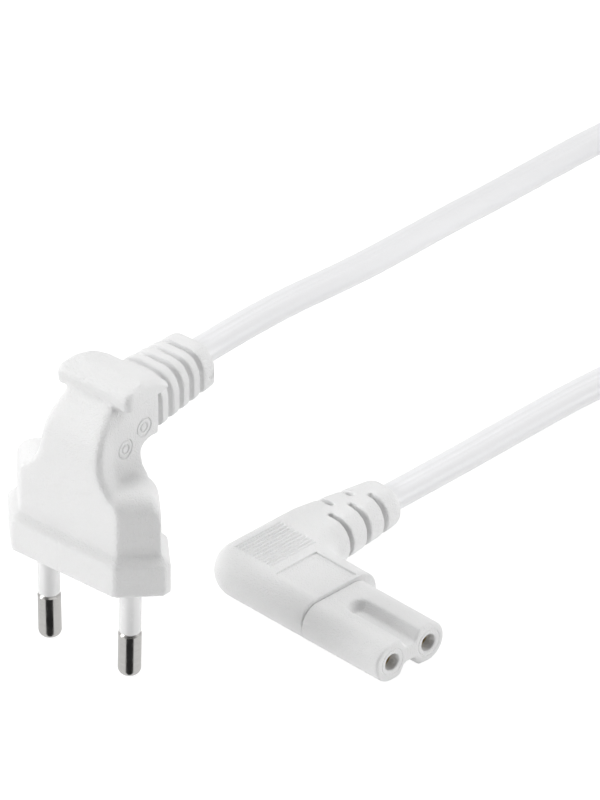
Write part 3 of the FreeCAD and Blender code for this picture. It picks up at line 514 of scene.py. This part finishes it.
def even_skin(name, place, grain):
    """Return a solid's surface as small even squares, in millimetres in a frame of its own."""
    copy = bmesh.new()
    copy.from_mesh(nodes[name].data)
    bmesh.ops.transform(copy, matrix=place.inverted() @ nodes[name].matrix_world, verts=copy.verts)
    bmesh.ops.remove_doubles(copy, verts=copy.verts, dist=SEAM_GAP)
    mesh = bpy.data.meshes.new(name + "_copy")
    copy.to_mesh(mesh)
    copy.free()
    source = bpy.data.objects.new(name + "_copy", mesh)
    scene.collection.objects.link(source)
    remesh = source.modifiers.new("even_squares", "REMESH")
    remesh.mode = "VOXEL"
    remesh.voxel_size = grain
    even = source.evaluated_get(bpy.context.evaluated_depsgraph_get())
    form = bmesh.new()
    form.from_mesh(even.to_mesh())
    even.to_mesh_clear()
    bpy.data.objects.remove(source)
    print(name, "remade as", len(form.faces), "squares")
    return form


def relax(form, inside, passes):
    """Let the chosen part of a surface settle towards its neighbours."""
    for _ in range(passes):
        chosen = [vert for vert in form.verts if inside(vert.co)]
        bmesh.ops.smooth_vert(form, verts=chosen, factor=0.5, use_axis_x=True, use_axis_y=True, use_axis_z=True)


# %% [markdown]
# Fine marks are pressed in along the normals. The squares under a mark are divided first, so that
# it has enough points to stay crisp. A mark's depth is a small formula on the point's place, which
# says its size in millimetres.

# %% Tools for fine marks


def divide(form, inside, cuts):
    """Divide the squares in a region, so that it can hold fine marks."""
    faces = [face for face in form.faces if inside(face.calc_center_median(), face.normal)]
    edges = {edge for face in faces for edge in face.edges}
    bmesh.ops.subdivide_edges(form, edges=list(edges), cuts=cuts, use_grid_fill=True)


def press(form, depth):
    """Sink each point along its normal by a depth that its place and normal give."""
    form.normal_update()
    moves = [(vert, vert.normal * depth(vert.co, vert.normal)) for vert in form.verts]
    for vert, move in moves:
        vert.co -= move


def ease(value, low, high):
    """Rise smoothly from 0 at the low end to 1 at the high end."""
    share = min(max((value - low) / (high - low), 0), 1)
    return share * share * (3 - 2 * share)


def ridge(offset, half_width):
    """Return 1 in the middle of a line and 0 past its half width."""
    return 1 - ease(abs(offset), 0, half_width)


print("a pressed line has a depth of", ridge(0, 1), "in its middle and", ridge(1, 1), "at its edge")

# %% [markdown]
# A finished form goes back to the lead's frame, rides on the one body of the lead, and is shown in
# place of its solid.

# %% Tool for finished skins


def dress(form, place, name, node, slot):
    """Turn a finished form into the piece that is shown in place of a solid."""
    bmesh.ops.transform(form, matrix=place, verts=form.verts)
    bmesh.ops.recalc_face_normals(form, faces=form.faces)
    mesh = bpy.data.meshes.new(name)
    form.to_mesh(mesh)
    form.free()
    for polygon in mesh.polygons:
        polygon.use_smooth = True
    mesh.materials.append(MATERIALS[slot])
    piece = bpy.data.objects.new(name, mesh)
    scene.collection.objects.link(piece)
    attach(piece, ROOT)
    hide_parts(node)
    print(name, "has", len(mesh.polygons), "faces")


# %% [markdown]
# ### Plug skin
#
# The plug is one soft moulding: a plate, shoulders that draw in to a neck, a finger flange on top
# and a ringed strain relief at the back. The shoulders and the neck are relaxed most. The plate,
# the flange and the rings keep their edges. The relaxed part ends in steps, so that no line shows
# where it stops.

# %% Plug form
PLUG_GRAIN = 0.31
SOFT_FROM = 9.0
SOFT_TO = 10.2
FLANGE_FROM = 30.8
FEATHER_STEPS = 6
FEATHER_RISE = 0.3
FEATHER_BACK = 0.2

plug_form = even_skin("plug_body", PLUG, PLUG_GRAIN)
relax(plug_form, lambda at: True, passes=1)
for feather in range(FEATHER_STEPS):
    soft_low = SOFT_FROM + feather * FEATHER_RISE
    soft_high = SOFT_TO - feather * FEATHER_BACK
    relax(plug_form, lambda at: soft_low < at.z < FLANGE_FROM and at.y < soft_high, passes=1)

# %% [markdown]
# Then come the fine marks: two plain round marks on each flank of the neck, a dimple on each side
# of the end collar, and the parting line of the mould on the front of the plate. Cutting them with
# a boolean would leave long thin faces in the relaxed skin, so they are pressed in.

# %% Marks on the plug
ROUND_MARKS = [(2.1, 23.3), (6.8, 25.4)]
MARK_RADIUS = 1.7
MARK_INNER = 0.8
MARK_DEPTH = 0.24
MARK_LINE = 0.2
DIMPLE = (25.2, 26.4)
DIMPLE_RADIUS = 1.0
DIMPLE_FLOOR = 0.6
DIMPLE_DEPTH = 0.2
PARTING_X = -1.1
PARTING_TOP = 5.8
PARTING_DEPTH = 0.05
PARTING_LINE = 0.12
MARGIN = 0.5
DIMPLE_MARGIN = 0.3
FACING = 0.5


def on_flank(at, normal):
    """Tell whether a face is on a flank near a round mark."""
    near = any(math.hypot(at.y - y, at.z - z) < MARK_RADIUS + MARGIN for y, z in ROUND_MARKS)
    return near and abs(normal.x) > FACING


def on_collar(at, normal):
    """Tell whether a face is near the dimple on a side of the end collar."""
    near = math.hypot(at.y - DIMPLE[0], at.z - DIMPLE[1]) < DIMPLE_RADIUS + DIMPLE_MARGIN
    return near and abs(normal.x) > FACING


def on_parting(at, normal):
    """Tell whether a face is near the parting line on the front of the plate."""
    return abs(at.x - PARTING_X) < MARGIN and at.z < PARTING_TOP and normal.y < -FACING


def on_mark(at, normal):
    """Tell whether a face is near any of the plug's fine marks."""
    return on_flank(at, normal) or on_collar(at, normal) or on_parting(at, normal)


def plug_marks(at, normal):
    """Return how deep the plug's surface is pressed at a point."""
    depth = 0
    if on_flank(at, normal):
        for y, z in ROUND_MARKS:
            reach = math.hypot(at.y - y, at.z - z)
            line = max(ridge(reach - MARK_RADIUS, MARK_LINE), ridge(reach - MARK_INNER, MARK_LINE))
            depth = max(depth, MARK_DEPTH * line)
    if on_collar(at, normal):
        reach = math.hypot(at.y - DIMPLE[0], at.z - DIMPLE[1])
        depth = DIMPLE_DEPTH * (1 - ease(reach, DIMPLE_RADIUS * DIMPLE_FLOOR, DIMPLE_RADIUS))
    if on_parting(at, normal):
        depth = PARTING_DEPTH * ridge(at.x - PARTING_X, PARTING_LINE)
    return depth


plug_form.normal_update()
divide(plug_form, on_mark, cuts=3)
press(plug_form, plug_marks)
dress(plug_form, PLUG, "plug_skin", "plug_body", "body_vinyl")

# %% [markdown]
# ### Connector skin
#
# The connector's soft body is an elbow: a thick front part round the nose, and a leg with slots
# that ends at the cord. Its upper face is relaxed most, and then the root of the leg. The slots of
# the strain relief come from the solid and keep their edges.

# %% Connector form
CONNECTOR_GRAIN = 0.26
LEG_ROOT_Y = 2.45
LEG_ROOT_REACH = 1.6
TOP = body_high.z / MM
TOP_REACH = 1.5
RIB_PITCH = 0.87
RIB_COUNT = 10
RIB_FIRST = -17.63
RIB_LAST = RIB_FIRST + RIB_PITCH * RIB_COUNT
RIB_LOW_Y = -13.65
RIB_HIGH_Y = -3.25
RIB_MARGIN_X = 0.3
RIB_MARGIN_Y = 0.6
FIELD_LOW = (-6.98, -14.65)
FIELD_HIGH = (2.82, -5.05)


def on_ribs(at):
    """Tell whether a point is in the grip's rectangle or at its edge."""
    within_x = RIB_FIRST - RIB_MARGIN_X < at.x < RIB_LAST + RIB_MARGIN_X
    return within_x and RIB_LOW_Y - RIB_MARGIN_Y < at.y < RIB_HIGH_Y + RIB_MARGIN_Y


def on_field(at):
    """Tell whether a point is in the sunk field or at its edge."""
    within_x = FIELD_LOW[0] - MARGIN < at.x < FIELD_HIGH[0] + MARGIN
    return within_x and FIELD_LOW[1] - MARGIN < at.y < FIELD_HIGH[1] + MARGIN


def on_top(at):
    """Tell whether a point is on the upper side, where the marks are."""
    return at.z > TOP - TOP_REACH and (on_ribs(at) or on_field(at))


connector_form = even_skin("connector_body", LEAD, CONNECTOR_GRAIN)
relax(connector_form, lambda at: True, passes=2)
relax(connector_form, on_top, passes=25)
relax(connector_form, lambda at: abs(at.y - LEG_ROOT_Y) < LEG_ROOT_REACH, passes=12)

# %% [markdown]
# The top has a grip of fine ribs over the bend and a sunk plain field beside it. Ten ribs could be
# ten small boxes, but on the real part they flow out of the moulding, so a wave is pressed into
# the skin and dies out at the grip's edges.

# %% Marks on the connector
RIB_DEPTH = 0.26
RIB_SIDE = 0.2
RIB_FADE = 0.4
GRIP_RISE = 0.08
FIELD_DEPTH = 0.3
FIELD_EDGE = 0.12
SLIGHTLY_UP = 0.3


def plateau(value, low, high, edge):
    """Rise from 0 to 1 over an edge at the low end, and fall again over one at the high end."""
    return ease(value, low, low + edge) * (1 - ease(value, high - edge, high))


def connector_marks(at, normal):
    """Return how deep the connector's top is pressed at a point."""
    if not on_top(at) or normal.z < SLIGHTLY_UP:
        return 0
    if on_ribs(at):
        wave = 0.5 - 0.5 * math.cos(2 * math.pi * (at.x - RIB_FIRST) / RIB_PITCH)
        across_ribs = plateau(at.x, RIB_FIRST - RIB_SIDE / 2, RIB_LAST + RIB_SIDE / 2, RIB_SIDE)
        along_ribs = plateau(at.y, RIB_LOW_Y - RIB_FADE, RIB_HIGH_Y + RIB_FADE, RIB_FADE)
        return (RIB_DEPTH * (1 - wave) - GRIP_RISE) * across_ribs * along_ribs
    sunk_x = plateau(at.x, FIELD_LOW[0], FIELD_HIGH[0], FIELD_EDGE)
    sunk_y = plateau(at.y, FIELD_LOW[1], FIELD_HIGH[1], FIELD_EDGE)
    return FIELD_DEPTH * sunk_x * sunk_y


connector_form.normal_update()
divide(connector_form, lambda at, normal: on_top(at) and normal.z > FACING, cuts=2)
press(connector_form, connector_marks)
dress(connector_form, LEAD, "connector_skin", "connector_body", "body_vinyl")

# %% [markdown]
# ### Nose skin
#
# The nose is hard plastic in the shape of an eight, which the soft body is moulded round. Its
# edges and those of its waist are still a little rounded, so it gets a skin too, relaxed only a
# little. A fine ring groove runs round each hole of the face. It is pressed in like the marks.

# %% Nose
NOSE_GRAIN = 0.17
ROUNDED_LENGTH = 17.5
WAIST_LENGTH = 15.5
WAIST_REACH = 3.2
WAIST_FLOOR = 0.9
HALF_PITCH = 4.3
RING_RADIUS = 2.45
RING_HALF = 0.2
RING_DEPTH = 0.1
FACE_DEPTH = 0.3
FORWARDS = 0.8
face_x = FACE_X / MM
nose_y = NOSE_Y / MM
axis_z = AXIS_Z / MM


def on_waist(at):
    """Tell whether a point is in one of the two grooves between the lobes."""
    between = abs(at.y - nose_y) < WAIST_REACH and abs(at.z - axis_z) > WAIST_FLOOR
    return at.x > face_x - WAIST_LENGTH and between


def ring_reach(at):
    """Return how far a point is from the nearer hole's axis."""
    return min(math.hypot(at.y - nose_y - side * HALF_PITCH, at.z - axis_z) for side in (-1, 1))


def on_face(at):
    """Tell whether a point is on the nose's front face, round a hole."""
    near_ring = RING_RADIUS - MARGIN < ring_reach(at) < RING_RADIUS + MARGIN
    return at.x > face_x - FACE_DEPTH and near_ring


def nose_marks(at, normal):
    """Return how deep the nose's face is pressed at a point."""
    return RING_DEPTH * ridge(ring_reach(at) - RING_RADIUS, RING_HALF) if on_face(at) else 0


nose_form = even_skin("connector_nose", LEAD, NOSE_GRAIN)
relax(nose_form, lambda at: at.x > face_x - ROUNDED_LENGTH, passes=3)
relax(nose_form, on_waist, passes=14)
nose_form.normal_update()
divide(nose_form, lambda at, normal: on_face(at) and normal.x > FORWARDS, cuts=2)
press(nose_form, nose_marks)
dress(nose_form, LEAD, "nose_skin", "connector_nose", "nose_plastic")

# %% [markdown]
# ### Strap round the coil
#
# A strap holds the put-away cord. It is out of the photograph, so a plain woven band is a guess.
# Its threads could be a bump in the material, but then it would be smooth at its edge. Here they
# stand up in a chequer of small bumps in the skin itself.

# %% Strap
STRAP_GRAIN = 0.18
THREAD_PITCH = 0.85
THREAD_DEPTH = 0.12
LYING_FLAT = 0.7


def weave(at, normal):
    """Return how deep the strap lies between its threads at a point."""
    along = at.x if abs(normal.z) > LYING_FLAT else at.z
    chequer = math.sin(math.pi * at.y / THREAD_PITCH) * math.sin(math.pi * along / THREAD_PITCH)
    return THREAD_DEPTH * (0.5 - 0.5 * chequer)


strap_form = even_skin("coil_tie", LEAD, STRAP_GRAIN)
relax(strap_form, lambda at: True, passes=2)
press(strap_form, weave)
dress(strap_form, LEAD, "strap_skin", "coil_tie", "tie_strap")

# %% [markdown]
# ## Cord
#
# The cord is one flat sheath round two cores. It could be swept along a path as a mesh, but a
# curve with a section keeps its width in every bend, and its tilt turns it on edge where it is
# coiled, because a flat cord bends only over its flat side. The first stretch comes out of the
# connector's leg and follows the photograph to the picture's edge.

# %% From the connector
CORD_SEAT = 5.0
CONNECTOR_LEAD = 14.5
FLAT = 0.0
ON_EDGE = math.pi / 2
CONNECTOR_ROUTE = [
    (-16.7, 54.9, 2.6),
    (-17.5, 72.6, 2.0),
    (-15.3, 87.6, 2.1),
    (-8.7, 100.7, 2.5),
    (1.4, 110.3, 3.1),
    (14.9, 116.6, 3.5),
]
CONNECTOR_TWIST = (0, 0, 0.3, 0.8, 1.2, ON_EDGE)

route = [
    (Vector((LEG_X, LEG_END_Y - CORD_SEAT * MM, AXIS_Z)), FLAT),
    (Vector((LEG_X, LEG_END_Y + CONNECTOR_LEAD * MM, AXIS_Z)), FLAT),
]
route += [(Vector(point) * MM, twist) for point, twist in zip(CONNECTOR_ROUTE, CONNECTOR_TWIST)]
print(len(route), "points from the connector")

# %% [markdown]
# The stretch at the plug comes down from the held-up strain relief. It is listed from the plug
# outwards, and joined to the route the other way round once the coil is made.

# %% From the plug
PLUG_LEAD = 17.0
RELIEF_END = 26.3
EXIT_HEIGHT = 27.3
PLUG_ROUTE = [
    (-27.9, 24.2, 41.8),
    (-34.9, 44.3, 35.6),
    (-43.5, 62.7, 28.0),
    (-50.9, 80.7, 21.2),
    (-57.5, 98.3, 15.4),
    (-61.9, 116.6, 11.6),
    (-62.9, 136.6, 9.9),
    (-58.2, 154.0, 9.5),
    (-46.6, 168.6, 9.4),
    (-33.3, 179.1, 9.4),
]
PLUG_TWIST = (0, 0, 0, 0, 0, 0, 0.15, 0.6, 1.1, ON_EDGE)

plug_run = [
    (plug_point(0, RELIEF_END - CORD_SEAT, EXIT_HEIGHT), FLAT),
    (plug_point(0, RELIEF_END + PLUG_LEAD, EXIT_HEIGHT), FLAT),
]
plug_run += [(Vector(point) * MM, twist) for point, twist in zip(PLUG_ROUTE, PLUG_TWIST)]
print(len(plug_run), "points from the plug")

# %% [markdown]
# Both stretches leave the picture, so the rest of the cord is put away in a coil there. It winds
# inwards in a lower layer, climbs, and winds outwards again on top, so both ends come out at the
# rim. Its control points stand a little outside the turns, because this kind of curve cuts its
# corners.

# %% Coil
COIL_MIDDLE = Vector((-6.63, 150.08, 0)) * MM
OUTER_TURN = 39.5 * MM
TURN_PITCH = 3.85 * MM
LOW_LAYER = 3.55 * MM
LAYER_RISE = 5.9 * MM
FULL_TURNS = 5
CLIMB_ANGLE = 1.6
POINTS_PER_TURN = 16

start_turn = route[-1][0] - COIL_MIDDLE
end_turn = plug_run[-1][0] - COIL_MIDDLE
first_angle = math.atan2(start_turn.y, start_turn.x)
last_angle = math.atan2(end_turn.y, end_turn.x)
sweep_angle = (last_angle - first_angle) % (2 * math.pi) + FULL_TURNS * 2 * math.pi
steps = round(sweep_angle / (2 * math.pi) * POINTS_PER_TURN)
swell = 1 / math.cos(math.pi / POINTS_PER_TURN)
for step in range(1, steps):
    share = step / steps
    angle = first_angle + sweep_angle * share
    turns_done = sweep_angle * min(share, 1 - share) / (2 * math.pi)
    radius = (OUTER_TURN - TURN_PITCH * turns_done) * swell
    climb = min(max((share - 0.5) * sweep_angle / CLIMB_ANGLE + 0.5, 0), 1)
    height = LOW_LAYER + LAYER_RISE * climb
    point = COIL_MIDDLE + Vector((radius * math.cos(angle), radius * math.sin(angle), height))
    route.append((point, ON_EDGE))
route += reversed(plug_run)
print(round(sweep_angle / (2 * math.pi), 2), "turns in", steps, "steps")

# %% [markdown]
# The whole route is one curve. Its up direction is held, so the tilt alone says how the cord
# lies.

# %% Path of the cord
cord_data = bpy.data.curves.new("cord", "CURVE")
cord_data.dimensions = "3D"
cord_data.twist_mode = "Z_UP"
cord_data.resolution_u = 10
line = cord_data.splines.new("NURBS")
line.points.add(len(route) - 1)
for control, (point, twist) in zip(line.points, route):
    control.co = (*point, 1)
    control.tilt = twist
line.order_u = 3
line.use_endpoint_u = True
print(len(route), "control points")

# %% [markdown]
# In section the sheath has round sides, and two fine ridges run along the middle of each flat
# side. The section is drawn as one closed outline, so the ridges are part of the shape.

# %% Section of the cord
CORD_WIDTH = 5.8 * MM
CORD_HEIGHT = 3.6 * MM
SIDE_STEPS = 12
RIDGES = [(0.8, 0), (0.6, 0.1), (0.4, 0), (-0.4, 0), (-0.6, 0.1), (-0.8, 0)]

outline = []
for side in (1, -1):
    for step in range(SIDE_STEPS + 1):
        angle = math.pi * (step / SIDE_STEPS - 0.5)
        reach = (CORD_WIDTH - CORD_HEIGHT) / 2 + math.cos(angle) * CORD_HEIGHT / 2
        outline.append((side * reach, side * math.sin(angle) * CORD_HEIGHT / 2))
    for x, lift in RIDGES:
        outline.append((side * x * MM, side * (CORD_HEIGHT / 2 + lift * MM)))

profile_data = bpy.data.curves.new("cord_section", "CURVE")
profile_data.dimensions = "2D"
profile_data.resolution_u = 6
section = profile_data.splines.new("POLY")
section.points.add(len(outline) - 1)
for control, (x, y) in zip(section.points, outline):
    control.co = (x, y, 0, 1)
section.use_cyclic_u = True
profile = bpy.data.objects.new("cord_section", profile_data)
scene.collection.objects.link(profile)
profile.hide_render = True
print("section of", len(outline), "points")

# %% [markdown]
# The cord then gets its section and its finish, rides on the one body of the lead, and is shown
# in place of the frame's three stretches of cord. Its length is a guess, a usual one for such a
# lead, since the photograph doesn't show it.

cord_data.bevel_mode = "OBJECT"
cord_data.bevel_object = profile
cord_data.use_fill_caps = True
cord_data.materials.append(MATERIALS["cord_vinyl"])
cord = bpy.data.objects.new("cord", cord_data)
scene.collection.objects.link(cord)

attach(cord, ROOT)
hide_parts("cord_connector_run", "cord_coil", "cord_plug_run")
